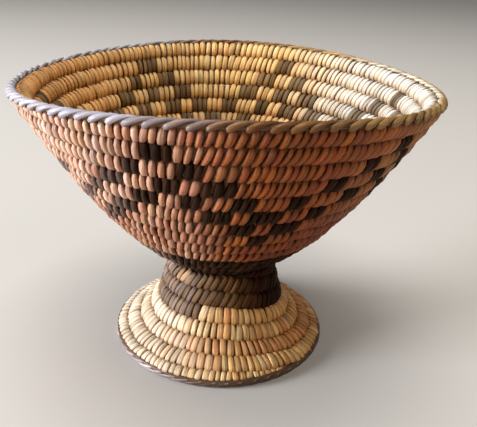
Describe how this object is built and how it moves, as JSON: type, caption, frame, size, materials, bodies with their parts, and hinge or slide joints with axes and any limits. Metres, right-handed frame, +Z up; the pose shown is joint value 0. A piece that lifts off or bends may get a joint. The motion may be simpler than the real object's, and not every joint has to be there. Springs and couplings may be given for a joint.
{
  "type": "coiled pedestal basket",
  "caption": "Coiled basket with a flaring bowl on a narrow dark neck and a spreading foot, with braided edges.",
  "frame": {"origin": "the middle of the face that the foot stands on, under the middle of the bowl", "axes": "+Z up through the neck and the open bowl; -Y is the side that the picture shows"},
  "size_m": [0.2048, 0.2048, 0.1458],
  "materials": {
    "natural_stitching": "split root, straw to tan, satin",
    "dark_stitching": "split pod, brown black, satin",
    "braided_edge": "split root, grey brown, satin",
    "grass_bundle": "dry grass, matte"
  },
  "bodies": {
    "root": {"bowl_foundation": "grass_bundle", "bowl_stitching_01": "dark_stitching", "bowl_stitching_02": "dark_stitching", "bowl_stitching_03": "dark_stitching", "bowl_stitching_04": "dark_stitching", "bowl_stitching_05": "dark_stitching", "bowl_stitching_06": "dark_stitching", "bowl_stitching_07": "natural_stitching", "bowl_stitching_08": "natural_stitching", "bowl_stitching_09": "natural_stitching", "bowl_stitching_10": "natural_stitching", "bowl_stitching_11": "natural_stitching", "bowl_stitching_12": "natural_stitching", "bowl_stitching_13": "natural_stitching", "bowl_stitching_14": "natural_stitching", "bowl_stitching_15": "natural_stitching", "bowl_stitching_16": "natural_stitching", "foot_edge_braid": "braided_edge", "foot_foundation": "grass_bundle", "foot_stitching_1": "natural_stitching", "foot_stitching_2": "natural_stitching", "foot_stitching_3": "natural_stitching", "foot_stitching_4": "natural_stitching", "neck_stitching_1": "dark_stitching", "neck_stitching_2": "dark_stitching", "neck_stitching_3": "dark_stitching", "rim_braid": "braided_edge", "start_knot": "dark_stitching"}
  },
  "joints": []
}
